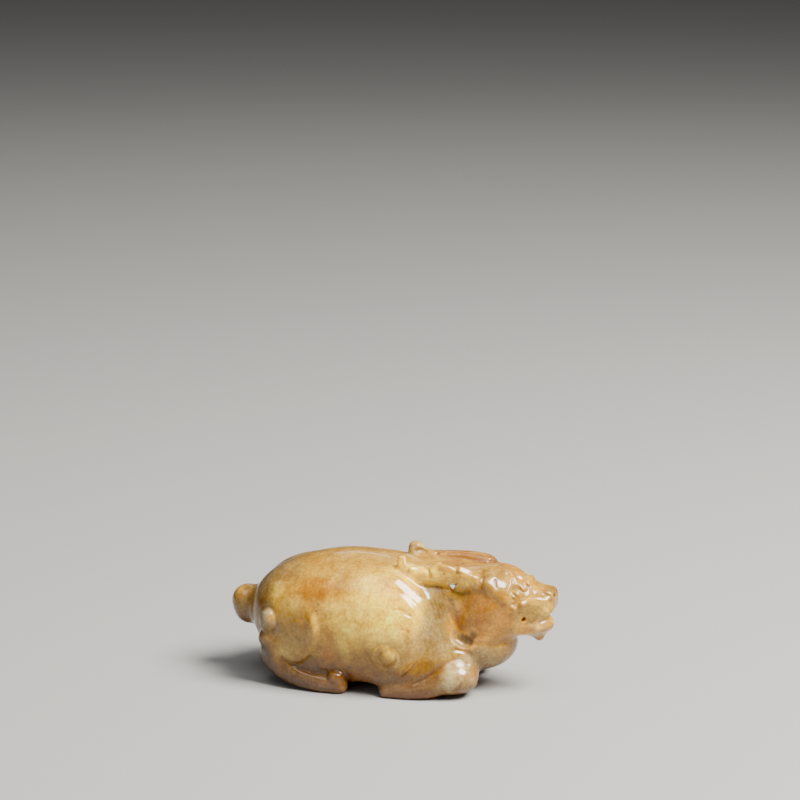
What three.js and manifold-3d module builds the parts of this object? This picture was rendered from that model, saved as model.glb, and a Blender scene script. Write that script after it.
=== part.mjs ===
// A mythical beast carved from one pebble of honey-yellow jade.
// It lies on folded legs with its head forward and its two horns laid back over the neck.
// All sizes are millimetres. x runs to the nose, y across the body and z up from the ground;
// the side with negative y is the one with the forked horn.

import * as THREE from 'three';
import { mergeVertices } from 'three/addons/utils/BufferGeometryUtils.js';
import Module from 'manifold-3d';

const wasm = await Module();
wasm.setup();

// Main masses: centre, radii, and how far the nose end dips in degrees.
// A mass with a y of its own stands on both sides of the body.
const TORSO = { at: [-7.8, 0, 14.0], radii: [21.2, 15.0, 13.2] };
const RUMP = { at: [-20.6, 3.6, 14.2], radii: [8.6, 8.0, 8.8] };
const SHOULDER = { at: [-0.8, 7.0, 13.0], radii: [10.4, 7.8, 11.0] };
const FLANK_BOX = { at: [-8.7, 0, 6.6], half: [17.7, 12.8, 5.4], rounding: 4.8 };
const NECK = { at: [9.0, 1.4, 11.2], radii: [10.2, 7.2, 8.2], dip: 30 };
const CHEST = { at: [17.6, 0, 9.7], radii: [8.5, 7.9, 6.1] };
const BRISKET = { at: [10.0, 4.6, 7.0], radii: [8.4, 7.2, 6.2] };

// Low relief on the flanks: discs with a crisp front edge that fade to the rear.
// The rise of a disc runs from start to full along a line in the side view.
const RELIEF_HEIGHT = 1.2;
const RELIEF_SINK = 0.6;
const RELIEF_FOOT = [4.0, 7.5];
const THIGH_DISC = { x: -20.2, z: 13.2, radius: 7.9, tall: 1.07,
  along: [1.0, -0.2], start: -23.5, full: -16.0, top: [15.0, 21.0] };
const SHOULDER_DISC = { x: -0.2, z: 13.0, radius: 9.7, tall: 1,
  along: [1.0, -0.15], start: 0.0, full: 6.5, top: [19.0, 23.0] };

// The masses are laid out about the middle of the body; this brings the middle of the whole
// length, nose to tail, over the origin.
const LENGTH_SHIFT = 0.47;

// Facets: how many are kept, and the shape that a kept one must have.
const FACET_GOAL = 9600;
const LONG_EDGE_COST = 2e-6;
const SHORTEST = 0.08;
const THINNEST = 0.05;
const BODY_DETAIL = 13;
const HEAD_DETAIL = 18;

// Head masses.
const SKULL = { at: [21.6, 0, 18.2], radii: [8.8, 7.4, 7.9] };
const CHEEK = { at: [19.4, 3.2, 16.0], radii: [6.3, 4.4, 5.4], dip: 15 };
const BROW = { at: [25.0, 2.5, 21.0], radii: [4.0, 3.0, 3.0], dip: 25 };
const MUZZLE = { at: [28.4, 0, 19.4], radii: [5.6, 4.6, 3.3] };
const NOSE = { at: [32.0, 0, 19.9], radii: [2.3, 3.1, 2.3] };
const UPPER_LIP = { at: [30.2, 2.3, 18.0], radii: [3.2, 2.4, 2.3] };
const LOWER_JAW = { at: [28.8, 0, 14.3], radii: [5.0, 4.3, 2.3] };
const CHIN_TIP = { from: [30.0, 0, 13.6], to: [30.5, 0, 12.1], radii: [2.0, 1.1] };
const CHEEK_RIDGE = [[24.2, 6.3, 18.3, 0.4], [27.3, 5.2, 19.8, 0.7],
  [29.5, 4.2, 20.9, 0.8], [32.0, 2.9, 20.5, 0.8]];
const EAR = { at: [16.2, 5.9, 22.9], radii: [2.4, 1.2, 1.3], dip: -8 };
const EYE = { x: 27.2, z: 21.9, radius: 1.7, ring: 0.32, ball: 1.2, tall: 0.8 };
const MOUTH_PIT = { at: [28.3, 4.6, 16.1], radii: [0.55, 0.9, 0.6] };
const NOSTRIL = { at: [33.9, 1.3, 20.6], radii: [0.6, 0.6, 0.5] };

// Swept parts: points of the centre line, each with the radius there.
const HIND_LEG = [[-23.8, 7.9, 5.6, 3.0], [-19.5, 10.8, 3.4, 2.7],
  [-13.4, 12.3, 1.8, 2.2], [-8.6, 12.7, 1.45, 1.9]];
const FORE_LEG = [[1.6, 12.8, 1.2, 1.6], [6.0, 12.7, 1.4, 1.8],
  [10.2, 11.9, 2.2, 2.1], [13.6, 10.4, 3.6, 2.7]];
const NEAR_HORN = [[18.6, 4.7, 23.0, 1.6], [17.4, 5.1, 23.6, 1.8], [14.6, 5.5, 24.1, 1.65],
  [11.0, 5.4, 24.2, 1.6], [8.2, 5.3, 24.0, 1.65], [5.6, 5.2, 24.0, 1.8],
  [3.7, 5.1, 24.8, 1.6], [3.0, 5.0, 26.2, 1.1], [2.9, 4.9, 27.0, 0.85]];
const FAR_HORN = [[19.6, 4.6, 23.2, 1.7], [18.2, 5.4, 24.2, 2.0], [15.9, 5.8, 24.6, 2.0],
  [13.0, 5.9, 24.7, 1.95], [9.6, 5.8, 24.6, 1.9], [6.6, 5.7, 24.6, 1.8],
  [4.6, 5.6, 25.0, 1.7], [3.2, 5.5, 26.0, 1.6], [3.0, 5.4, 26.9, 1.3]];
const HORN_TINE = [[10.0, 5.4, 24.6, 1.6], [10.3, 5.3, 25.6, 1.25], [10.5, 5.2, 26.1, 1.05]];
const HORN_WEB = { at: [12.0, 0.2, 24.4], radii: [9.0, 5.4, 1.2] };

// Small rounded parts.
const KNEE = { at: [15.3, 8.2, 4.2], radii: [4.5, 4.9, 3.6], dip: 12 };
const FETLOCK = { at: [-9.2, 12.4, 3.3], radii: [2.4, 2.0, 1.5] };
const ELBOW_CURL = { at: [2.0, 13.7, 8.8], radii: [2.3, 1.8, 2.4] };
const HAUNCH_CURL = { at: [-24.1, 11.0, 13.7], radii: [1.9, 1.9, 2.1] };
const TAIL = { at: [-31.5, 0, 13.5], radii: [3.5, 4.1, 4.0] };
const TAIL_TOP = { at: [-32.6, 0, 15.0], radii: [2.5, 3.2, 2.4] };
const TAIL_ROOT = { from: [-31.0, 0, 14.8], to: [-26.0, 0, 14.8], radii: [2.5, 3.0] };

// Hollows: the pocket behind each cheek and the arched gap between the feet.
const CHEEK_POCKET = { at: [16.0, 8.2, 12.2], radii: [1.3, 2.4, 1.9], dip: 25 };
const BELLY_GAP = { at: [-3.0, 0, -1.6], radii: [4.6, 24.0, 4.2] };

const JADE = new THREE.MeshStandardMaterial({ color: 0xd2a566, roughness: 0.22, metalness: 0 });

// Fields: negative inside the stone, positive outside, close to millimetres near the surface.

function localPoint(point, mass, mirrored) {
  const side = mirrored ? Math.abs(point[1]) : point[1];
  const x = point[0] - mass.at[0];
  const z = point[2] - mass.at[2];
  const angle = THREE.MathUtils.degToRad(mass.dip ?? 0);
  const cos = Math.cos(angle);
  const sin = Math.sin(angle);
  return [x * cos - z * sin, side - mass.at[1], x * sin + z * cos];
}

function ellipsoidField(point, mass) {
  const local = localPoint(point, mass, mass.at[1] !== 0);
  const scaled = local.map((value, i) => value / mass.radii[i]);
  const twice = scaled.map((value, i) => value / mass.radii[i]);
  const size = Math.hypot(...scaled);
  return size * (size - 1) / (Math.hypot(...twice) + 1e-9);
}

function boxField(point, box) {
  const over = [0, 1, 2].map((i) => Math.abs(point[i] - box.at[i]) - box.half[i] + box.rounding);
  const outside = Math.hypot(...over.map((value) => Math.max(value, 0)));
  return outside + Math.min(Math.max(...over), 0) - box.rounding;
}

function coneField(point, from, to, startRadius, endRadius) {
  const axis = [to[0] - from[0], to[1] - from[1], to[2] - from[2]];
  const offset = point.map((value, i) => value - from[i]);
  const along = (offset[0] * axis[0] + offset[1] * axis[1] + offset[2] * axis[2])
    / (axis[0] ** 2 + axis[1] ** 2 + axis[2] ** 2);
  const t = THREE.MathUtils.clamp(along, 0, 1);
  const gap = offset.map((value, i) => value - axis[i] * t);
  return Math.hypot(...gap) - THREE.MathUtils.lerp(startRadius, endRadius, t);
}

// A chain of cones along a path, the same on both sides of the body.
function rodField(point, path) {
  const folded = [point[0], Math.abs(point[1]), point[2]];
  let nearest = Infinity;
  for (let i = 1; i < path.length; i += 1) {
    const [from, to] = [path[i - 1], path[i]];
    nearest = Math.min(nearest, coneField(folded, from, to, from[3], to[3]));
  }
  return nearest;
}

function blend(a, b, width) {
  const share = Math.max(width - Math.abs(a - b), 0) / width;
  return Math.min(a, b) - share * share * width / 4;
}

// How far a flank disc stands above the flank, before the disc cuts it out.
function rise(point, disc) {
  const [x, y, z] = point;
  const onFlank = THREE.MathUtils.smoothstep(Math.abs(y), 7.5, 10.0)
    * THREE.MathUtils.smoothstep(z, ...RELIEF_FOOT)
    * (1 - THREE.MathUtils.smoothstep(z, ...disc.top));
  const along = x * disc.along[0] + z * disc.along[1];
  const fade = THREE.MathUtils.smoothstep(along, disc.start, disc.full);
  return RELIEF_HEIGHT * onFlank * fade - RELIEF_SINK;
}

function bodyField(point) {
  let field = ellipsoidField(point, TORSO);
  field = blend(field, ellipsoidField(point, RUMP), 4);
  field = blend(field, ellipsoidField(point, SHOULDER), 4);
  field = blend(field, boxField(point, FLANK_BOX), 2.5);
  return field;
}

function neckField(point) {
  const front = blend(ellipsoidField(point, NECK), ellipsoidField(point, CHEST), 3);
  return blend(front, ellipsoidField(point, BRISKET), 3);
}

function headField(point) {
  let field = ellipsoidField(point, SKULL);
  field = blend(field, ellipsoidField(point, CHEEK), 1.5);
  field = blend(field, ellipsoidField(point, BROW), 1);
  field = blend(field, ellipsoidField(point, MUZZLE), 1.2);
  field = blend(field, ellipsoidField(point, NOSE), 0.9);
  field = blend(field, ellipsoidField(point, UPPER_LIP), 1.0);
  field = blend(field, rodField(point, CHEEK_RIDGE), 0.7);
  const chin = coneField(point, CHIN_TIP.from, CHIN_TIP.to, ...CHIN_TIP.radii);
  const jaw = blend(ellipsoidField(point, LOWER_JAW), chin, 1.2);
  return blend(field, jaw, 0.7);
}

function foreLegField(point) {
  return blend(rodField(point, FORE_LEG), ellipsoidField(point, KNEE), 1.2);
}

function tailField(point) {
  const root = coneField(point, TAIL_ROOT.from, TAIL_ROOT.to, ...TAIL_ROOT.radii);
  const lobe = blend(ellipsoidField(point, TAIL), ellipsoidField(point, TAIL_TOP), 1.5);
  return blend(lobe, root, 1);
}

// Distance along a ray, from outside inwards, to where the field turns negative.
function reach(field, start, step, from, to) {
  const at = (t) => field(start.map((value, i) => value + step[i] * t));
  const count = 60;
  let outer = from;
  for (let i = 1; i <= count; i += 1) {
    const t = THREE.MathUtils.lerp(from, to, i / count);
    if (at(t) < 0) {
      let inner = t;
      for (let k = 0; k < 18; k += 1) {
        const middle = (outer + inner) / 2;
        if (at(middle) < 0) {
          inner = middle;
        } else {
          outer = middle;
        }
      }
      return (outer + inner) / 2;
    }
    outer = t;
  }
  return to;
}

// Joins the shared vertices of a closed geometry and hands it over as a solid.
function solid(geometry) {
  const bare = new THREE.BufferGeometry();
  bare.setAttribute('position', geometry.getAttribute('position'));
  if (geometry.index) {
    bare.setIndex(geometry.index);
  }
  const merged = mergeVertices(bare, 1e-4);
  const index = merged.index.array;
  const kept = [];
  for (let i = 0; i < index.length; i += 3) {
    const [a, b, c] = [index[i], index[i + 1], index[i + 2]];
    if (a !== b && b !== c && c !== a) {
      kept.push(a, b, c);
    }
  }
  return new wasm.Manifold(new wasm.Mesh({
    numProp: 3,
    vertProperties: new Float32Array(merged.getAttribute('position').array),
    triVerts: new Uint32Array(kept),
  }));
}

// A ball whose every vertex is moved along its ray from the centre onto the field's surface.
function moulded(field, centre, stretch, detail) {
  const geometry = new THREE.IcosahedronGeometry(1, detail);
  const position = geometry.getAttribute('position');
  for (let i = 0; i < position.count; i += 1) {
    const step = [0, 1, 2].map((k) => position.getComponent(i, k) * stretch[k]);
    const t = reach(field, centre, step, 1.6, 0.1);
    position.setXYZ(i, ...centre.map((value, k) => value + step[k] * t));
  }
  return solid(geometry);
}

function ellipsoid(mass, side, detail) {
  const geometry = new THREE.IcosahedronGeometry(1, detail);
  geometry.scale(...mass.radii);
  geometry.rotateY(THREE.MathUtils.degToRad(mass.dip ?? 0));
  geometry.translate(mass.at[0], mass.at[1] * side, mass.at[2]);
  return solid(geometry);
}

// A round bar with rounded ends: a lathe-turned rod bent onto a curve through the points.
function bentRod(path, side, rings, sides) {
  const centres = path.map(([x, y, z]) => new THREE.Vector3(x, y * side, z));
  const curve = new THREE.CatmullRomCurve3(centres);
  const frames = curve.computeFrenetFrames(rings, false);
  const radii = new THREE.SplineCurve(path.map((entry, i) => new THREE.Vector2(i, entry[3])));
  const capRings = 2;
  const profile = [];
  const stations = [];
  for (let i = -capRings - 1; i <= rings + capRings + 1; i += 1) {
    const ring = THREE.MathUtils.clamp(i, 0, rings);
    const cap = (i - ring) / (capRings + 1) * Math.PI / 2;
    const pole = Math.abs(i - ring) === capRings + 1;
    profile.push(new THREE.Vector2(pole ? 0 : 1, i));
    stations.push({ ring, shrink: Math.cos(cap), push: Math.sin(cap) });
  }
  const geometry = new THREE.LatheGeometry(profile, sides);
  const position = geometry.getAttribute('position');
  for (let i = 0; i < position.count; i += 1) {
    const { ring, shrink, push } = stations[Math.round(position.getY(i)) + capRings + 1];
    const t = ring / rings;
    const centre = curve.getPoint(curve.getUtoTmapping(t));
    const radius = radii.getPoint(curve.getUtoTmapping(t)).y;
    centre.addScaledVector(frames.tangents[ring], radius * push);
    centre.addScaledVector(frames.normals[ring], radius * shrink * position.getX(i));
    centre.addScaledVector(frames.binormals[ring], -radius * shrink * position.getZ(i));
    position.setXYZ(i, centre.x, centre.y, centre.z);
  }
  return solid(geometry);
}

// A round bar across the whole body that cuts a flank disc out of the raised skin.
function discCutter(disc) {
  const geometry = new THREE.CylinderGeometry(disc.radius, disc.radius, 40, 40);
  geometry.scale(1, 1, disc.tall);
  geometry.translate(disc.x, 0, disc.z);
  return solid(geometry);
}

function eyeOn(field) {
  const y = reach(field, [EYE.x, 0, EYE.z], [0, 1, 0], 12, 0.5);
  const slope = (i) => {
    const probe = [EYE.x, y, EYE.z];
    probe[i] += 0.8;
    return field(probe);
  };
  const outward = new THREE.Vector3(slope(0), slope(1), slope(2)).normalize();
  return { centre: new THREE.Vector3(EYE.x, y, EYE.z), outward };
}

function eyeSolid(geometry, eye, side) {
  const turn = new THREE.Quaternion()
    .setFromUnitVectors(new THREE.Vector3(0, 0, 1), eye.outward);
  geometry.applyQuaternion(turn);
  geometry.translate(eye.centre.x, eye.centre.y, eye.centre.z);
  if (side < 0) {
    const position = geometry.getAttribute('position');
    for (let i = 0; i < position.count; i += 1) {
      position.setY(i, -position.getY(i));
    }
    flipFaces(geometry);
  }
  return solid(geometry);
}

function flipFaces(geometry) {
  if (geometry.index) {
    const index = geometry.index;
    for (let i = 0; i < index.count; i += 3) {
      const first = index.getX(i);
      index.setX(i, index.getX(i + 1));
      index.setX(i + 1, first);
    }
    return;
  }
  const position = geometry.getAttribute('position');
  for (let i = 0; i < position.count; i += 3) {
    const first = [0, 1, 2].map((k) => position.getComponent(i, k));
    const second = [0, 1, 2].map((k) => position.getComponent(i + 1, k));
    position.setXYZ(i, ...second);
    position.setXYZ(i + 1, ...first);
  }
}

function withEyes(head) {
  const eye = eyeOn(headField);
  let result = head;
  for (const side of [-1, 1]) {
    const ring = new THREE.TorusGeometry(EYE.radius, EYE.ring, 5, 16);
    ring.scale(1, EYE.tall, 1);
    result = result.subtract(eyeSolid(ring, eye, side));
    const ball = new THREE.IcosahedronGeometry(1, 2);
    ball.scale(EYE.ball, EYE.ball * EYE.tall, 0.4);
    result = result.add(eyeSolid(ball, eye, side));
  }
  return result;
}

function carvedHead() {
  let head = moulded(headField, [25.0, 0, 17.8], [9.0, 6.2, 6.6], HEAD_DETAIL);
  head = withEyes(head);
  for (const side of [-1, 1]) {
    head = head.add(ellipsoid(EAR, side, 2));
    head = head.subtract(ellipsoid(MOUTH_PIT, side, 1));
    head = head.subtract(ellipsoid(NOSTRIL, side, 1));
  }
  return head;
}

function carvedBody() {
  const centre = [-7.5, 0, 12.5];
  const stretch = [21.0, 13.5, 12.0];
  let body = moulded(bodyField, centre, stretch, BODY_DETAIL);
  for (const disc of [THIGH_DISC, SHOULDER_DISC]) {
    const raisedField = (point) => bodyField(point) - rise(point, disc);
    const raised = moulded(raisedField, centre, stretch, BODY_DETAIL);
    body = body.add(raised.intersect(discCutter(disc)));
  }
  return body;
}

function horns() {
  let pair = bentRod(NEAR_HORN, -1, 20, 12);
  pair = pair.add(bentRod(HORN_TINE, -1, 4, 8));
  pair = pair.add(bentRod(FAR_HORN, 1, 20, 12));
  return pair.add(ellipsoid(HORN_WEB, 1, 3));
}

function limbs(side) {
  const fore = [11.5, 10.9 * side, 2.9];
  let group = bentRod(HIND_LEG, side, 14, 12);
  group = group.add(ellipsoid(FETLOCK, side, 3));
  group = group.add(moulded(foreLegField, fore, [9.0, 3.6, 3.0], 8));
  group = group.add(ellipsoid(ELBOW_CURL, side, 3));
  return group.add(ellipsoid(HAUNCH_CURL, side, 3));
}

function belowGround() {
  const slab = new THREE.BoxGeometry(90, 50, 10);
  slab.translate(0, 0, -5);
  return solid(slab);
}

function beast() {
  let stone = carvedBody();
  stone = stone.add(moulded(neckField, [13.5, 0, 10.5], [12.0, 7.5, 7.5], 6));
  stone = stone.add(moulded(tailField, [-30.5, 0, 13.8], [4.5, 4.0, 4.0], 5));
  for (const side of [-1, 1]) {
    stone = stone.add(limbs(side));
    stone = stone.subtract(ellipsoid(CHEEK_POCKET, side, 2));
  }
  stone = stone.add(carvedHead());
  stone = stone.add(horns());
  stone = stone.subtract(ellipsoid(BELLY_GAP, 1, 3));
  return stone.subtract(belowGround());
}

// A quadric holds how far a point lies from a set of planes, as ten sums.
function addPlane(quadric, normal, offset, weight) {
  const [a, b, c] = normal;
  const terms = [a * a, a * b, a * c, b * b, b * c, c * c, a * offset, b * offset, c * offset,
    offset * offset];
  terms.forEach((term, i) => {
    quadric[i] += term * weight;
  });
}

function planeError(first, second, [x, y, z]) {
  const q = first.map((value, i) => value + second[i]);
  return q[0] * x * x + q[3] * y * y + q[5] * z * z + q[9]
    + 2 * (q[1] * x * y + q[2] * x * z + q[4] * y * z + q[6] * x + q[7] * y + q[8] * z);
}

function faceNormal(a, b, c) {
  const u = [b[0] - a[0], b[1] - a[1], b[2] - a[2]];
  const v = [c[0] - a[0], c[1] - a[1], c[2] - a[2]];
  return [u[1] * v[2] - u[2] * v[1], u[2] * v[0] - u[0] * v[2], u[0] * v[1] - u[1] * v[0]];
}

function dotProduct(a, b) {
  return a[0] * b[0] + a[1] * b[1] + a[2] * b[2];
}

function spacing(a, b) {
  return Math.hypot(a[0] - b[0], a[1] - b[1], a[2] - b[2]);
}

// Joins leave slivers and facets finer than the form needs. This draws one end of an edge into
// the other wherever the surface hardly moves, the smallest moves first.
class Facets {
  constructor(points, faces) {
    this.points = points;
    this.faces = faces;
    this.count = faces.length;
    this.around = points.map(() => new Set());
    this.quadrics = points.map(() => new Float64Array(10));
    faces.forEach((face, id) => {
      const corners = face.map((v) => points[v]);
      const normal = faceNormal(...corners);
      const size = Math.hypot(...normal);
      face.forEach((v) => this.around[v].add(id));
      if (size > 1e-12) {
        const unit = normal.map((value) => value / size);
        const offset = -dotProduct(unit, corners[0]);
        face.forEach((v) => addPlane(this.quadrics[v], unit, offset, Math.sqrt(size)));
      }
    });
  }

  neighbours(v) {
    const found = new Set();
    for (const id of this.around[v]) {
      this.faces[id].forEach((w) => found.add(w));
    }
    found.delete(v);
    return found;
  }

  facing(v) {
    const sum = [0, 0, 0];
    for (const id of this.around[v]) {
      faceNormal(...this.faces[id].map((w) => this.points[w])).forEach((value, i) => {
        sum[i] += value;
      });
    }
    return sum;
  }

  cost(gone, kept) {
    const [from, to] = [this.points[gone], this.points[kept]];
    const length = spacing(from, to);
    if (length < SHORTEST) {
      return 0;
    }
    return planeError(this.quadrics[gone], this.quadrics[kept], to) + LONG_EDGE_COST * length ** 2;
  }

  // The move keeps the surface closed and turns no facet over.
  allowed(gone, kept) {
    const near = this.neighbours(kept);
    let shared = 0;
    for (const v of this.neighbours(gone)) {
      shared += near.has(v) ? 1 : 0;
    }
    if (shared !== 2) {
      return false;
    }
    const facing = this.facing(gone);
    const short = spacing(this.points[gone], this.points[kept]) < SHORTEST;
    for (const id of this.around[gone]) {
      const face = this.faces[id];
      if (face.includes(kept)) {
        continue;
      }
      const before = faceNormal(...face.map((v) => this.points[v]));
      const after = faceNormal(...face.map((v) => this.points[v === gone ? kept : v]));
      const [sizeBefore, sizeAfter] = [Math.hypot(...before), Math.hypot(...after)];
      const dot = dotProduct(before, after);
      const corners = face.map((v) => this.points[v === gone ? kept : v]);
      const longest = Math.max(spacing(corners[0], corners[1]), spacing(corners[1], corners[2]),
        spacing(corners[2], corners[0]));
      const thin = sizeAfter < THINNEST * longest * longest;
      const turned = sizeBefore > 1e-3 ? dot < 0.4 * sizeBefore * sizeAfter
        : sizeAfter > 1e-3 && dotProduct(facing, after) < 0;
      if (turned || (thin && !short && sizeAfter > 1e-3)) {
        return false;
      }
    }
    return true;
  }

  collapse(gone, kept) {
    for (const id of [...this.around[gone]]) {
      const face = this.faces[id];
      if (face.includes(kept)) {
        face.forEach((v) => this.around[v].delete(id));
        this.faces[id] = null;
        this.count -= 1;
      } else {
        this.faces[id] = face.map((v) => (v === gone ? kept : v));
        this.around[kept].add(id);
      }
    }
    this.around[gone].clear();
    this.quadrics[gone].forEach((value, i) => {
      this.quadrics[kept][i] += value;
    });
  }

  sweep(limit, goal) {
    for (let id = 0; id < this.faces.length && this.count > goal; id += 1) {
      for (let k = 0; k < 3 && this.faces[id]; k += 1) {
        const face = this.faces[id];
        const [a, b] = [face[k], face[(k + 1) % 3]];
        const [gone, kept] = this.cost(a, b) < this.cost(b, a) ? [a, b] : [b, a];
        if (this.cost(gone, kept) < limit && this.allowed(gone, kept)) {
          this.collapse(gone, kept);
        }
      }
    }
  }

  reduce(goal) {
    this.sweep(1e-9, 0);
    this.sweep(1e-9, 0);
    for (let limit = 1e-6; limit < 0.05 && this.count > goal; limit *= 1.7) {
      this.sweep(limit, goal);
    }
  }

  geometry() {
    const corners = this.faces.filter((face) => face).flat();
    const kept = [...new Set(corners)];
    const place = new Map(kept.map((v, i) => [v, i]));
    const geometry = new THREE.BufferGeometry();
    const positions = new Float32Array(kept.flatMap((v) => this.points[v]));
    geometry.setAttribute('position', new THREE.BufferAttribute(positions, 3));
    geometry.setIndex(corners.map((v) => place.get(v)));
    geometry.computeVertexNormals();
    return geometry;
  }
}

function meshOf(stone, name, material) {
  const { vertProperties, triVerts } = stone.getMesh();
  const points = [];
  for (let i = 0; i < vertProperties.length; i += 3) {
    points.push([...vertProperties.subarray(i, i + 3)]);
  }
  const faces = [];
  for (let i = 0; i < triVerts.length; i += 3) {
    faces.push([...triVerts.subarray(i, i + 3)]);
  }
  const facets = new Facets(points, faces);
  facets.reduce(FACET_GOAL);
  const geometry = facets.geometry();
  geometry.translate(LENGTH_SHIFT, 0, 0);
  const result = new THREE.Mesh(geometry, material);
  result.name = name;
  return result;
}

const group = new THREE.Group();
group.add(meshOf(beast(), 'jade_beast', JADE));

export default group;
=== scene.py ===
"""A reclining mythical beast carved from one pebble of honey-yellow jade.

The stone is one mesh. Its form is a smooth field of rounded masses, the finer carving is cut
into the same field, and the surface is drawn where the field is zero. Sizes in the field are
millimetres: x runs to the nose, y across the body, z up, and negative y is the forked horn's
side. The mesh itself is in metres.
"""

import math

import bpy
import numpy as np
from mathutils import Matrix, Vector


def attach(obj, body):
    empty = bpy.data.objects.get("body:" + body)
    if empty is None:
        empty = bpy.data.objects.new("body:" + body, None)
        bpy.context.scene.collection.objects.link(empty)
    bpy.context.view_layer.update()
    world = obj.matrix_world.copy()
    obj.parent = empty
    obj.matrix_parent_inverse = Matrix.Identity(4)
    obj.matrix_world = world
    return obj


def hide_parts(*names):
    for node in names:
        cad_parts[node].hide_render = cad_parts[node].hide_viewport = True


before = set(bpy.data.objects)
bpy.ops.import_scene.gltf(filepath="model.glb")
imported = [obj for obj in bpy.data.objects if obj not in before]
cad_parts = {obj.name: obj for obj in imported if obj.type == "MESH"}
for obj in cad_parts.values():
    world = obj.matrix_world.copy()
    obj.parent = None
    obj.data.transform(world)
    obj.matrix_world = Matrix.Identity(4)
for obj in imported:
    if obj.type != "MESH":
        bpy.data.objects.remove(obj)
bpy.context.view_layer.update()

# The whole length, nose to tail, is centred over the origin by this shift of the masses.
LENGTH_SHIFT = 0.47
MM = 0.001

# The grid that the surface is drawn on, and the box it covers. The field is worked out at
# every BLOCK-th point first, and at every point only within NEAR_BLOCKS of the surface.
PITCH = 0.2
BLOCK = 4
NEAR_BLOCKS = 1.5
PARTS = 8
LOW = (-37.5, -17.5, -1.0)
HIGH = (36.5, 17.5, 30.5)

# Rounds that draw the points onto the surface, the farthest that each one moves a point, and
# the steps over which the field's slope is measured there and for the normals.
SETTLE_ROUNDS = 2
SETTLE_LIMIT = 0.12
SETTLE_STEP = 0.05
NORMAL_STEP = 0.03
TRIANGLES = 190000

# Main masses: centre, radii, and how far the nose end dips in degrees.
# A mass with a y of its own stands on both sides of the body.
TORSO = ((-7.8, 0, 14.0), (21.2, 15.0, 13.2), 0)
RUMP = ((-20.6, 3.6, 14.2), (8.6, 8.0, 8.8), 0)
SHOULDER = ((-0.8, 7.0, 13.0), (10.4, 7.8, 11.0), 0)
NECK = ((9.0, 1.4, 11.2), (10.2, 7.2, 8.2), 30)
NAPE = ((7.8, 3.5, 17.9), (6.9, 4.2, 5.1), 0)
NECK_SIDE = ((10.8, 3.8, 13.6), (4.4, 5.0, 8.6), 0)
HORN_SEAT = ((14.0, 3.4, 19.4), (3.2, 3.5, 3.6), 0)
CHEST = ((17.6, 0, 9.7), (8.5, 7.9, 6.1), 0)
BRISKET = ((10.0, 4.6, 7.0), (8.4, 7.2, 6.2), 0)
FLANK_BOX = ((-8.7, 0, 6.6), (17.7, 12.8, 5.4), 4.8)

# Head masses.
SKULL = ((21.6, 0, 18.2), (8.8, 7.4, 7.9), 0)
CHEEK = ((19.9, 3.2, 15.7), (6.6, 4.4, 5.5), 15)
BROW = ((25.0, 2.5, 21.0), (4.0, 3.0, 3.0), 25)
MUZZLE = ((28.4, 0, 19.4), (5.6, 4.6, 3.3), 0)
NOSE_BOX = ((31.1, 0, 19.4), (3.15, 3.1, 2.55), 1.7)
UPPER_LIP = ((30.2, 2.3, 18.0), (3.2, 2.4, 2.3), 0)
LOWER_JAW = ((28.7, 0, 14.2), (5.1, 4.3, 2.4), 0)
CHIN_TIP = [(30.0, 0, 13.5, 2.1), (30.7, 0, 11.6, 1.1)]
CHEEK_RIDGE = [(24.4, 6.3, 17.9, 0.3), (26.0, 5.8, 18.0, 0.7), (27.4, 5.15, 18.5, 0.9),
               (28.8, 4.5, 19.2, 1.1), (29.9, 4.1, 19.75, 1.3), (31.2, 3.5, 19.8, 1.3),
               (32.3, 2.9, 19.7, 1.1)]
BROW_ROLL = [(28.2, 0.0, 23.15, 0.95), (28.3, 1.6, 22.9, 0.95), (28.2, 2.9, 22.3, 0.8)]
TEMPLE_ROLL = [(19.9, 3.7, 22.4, 2.1), (21.9, 4.1, 21.7, 2.6), (24.2, 4.2, 20.9, 2.3)]
EYE_BALL = ((26.9, 4.6, 21.4), (1.0, 0.85, 0.8), 25)
EAR = ((16.2, 5.9, 22.9), (2.4, 1.2, 1.3), -8)

# Limbs and horns: points of the centre line, each with the radius there.
HIND_LEG = [(-23.8, 7.9, 5.6, 3.0), (-19.5, 10.8, 3.4, 2.7),
            (-13.4, 12.3, 1.8, 2.2), (-8.6, 12.7, 1.45, 1.9)]
FORE_LEG = [(1.6, 12.8, 1.2, 1.6), (6.0, 12.7, 1.4, 1.8),
            (10.2, 11.9, 2.2, 2.1), (13.6, 10.4, 3.6, 2.7)]
NEAR_HORN = [(18.6, 4.7, 23.0, 1.6), (17.4, 5.1, 23.6, 1.8), (14.6, 5.5, 24.1, 1.65),
             (11.0, 5.4, 24.2, 1.6), (8.2, 5.3, 24.0, 1.65), (5.6, 5.2, 24.0, 1.8),
             (3.7, 5.1, 24.8, 1.6), (3.0, 5.0, 26.2, 1.1), (2.9, 4.9, 27.0, 0.85)]
FAR_HORN = [(19.6, 4.6, 23.2, 1.7), (18.2, 5.4, 24.2, 2.0), (15.9, 5.8, 24.6, 2.0),
            (13.0, 5.9, 24.7, 1.95), (9.6, 5.8, 24.6, 1.9), (6.6, 5.7, 24.6, 1.8),
            (4.6, 5.6, 25.0, 1.7), (3.2, 5.5, 26.0, 1.6), (3.0, 5.4, 26.9, 1.3)]
HORN_TINE = [(10.0, 5.4, 24.6, 1.6), (10.3, 5.3, 25.6, 1.25), (10.5, 5.2, 26.1, 1.05)]
HORN_EDGE = [(9.9, 5.5, 24.9, 0.8), (11.2, 5.9, 25.8, 0.8), (12.6, 6.15, 26.2, 0.7),
             (15.8, 5.4, 25.1, 0.6), (19.0, 4.7, 23.9, 0.6)]
HORN_WEB = ((12.0, 0.2, 24.4), (9.0, 5.4, 1.2), 0)

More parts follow.
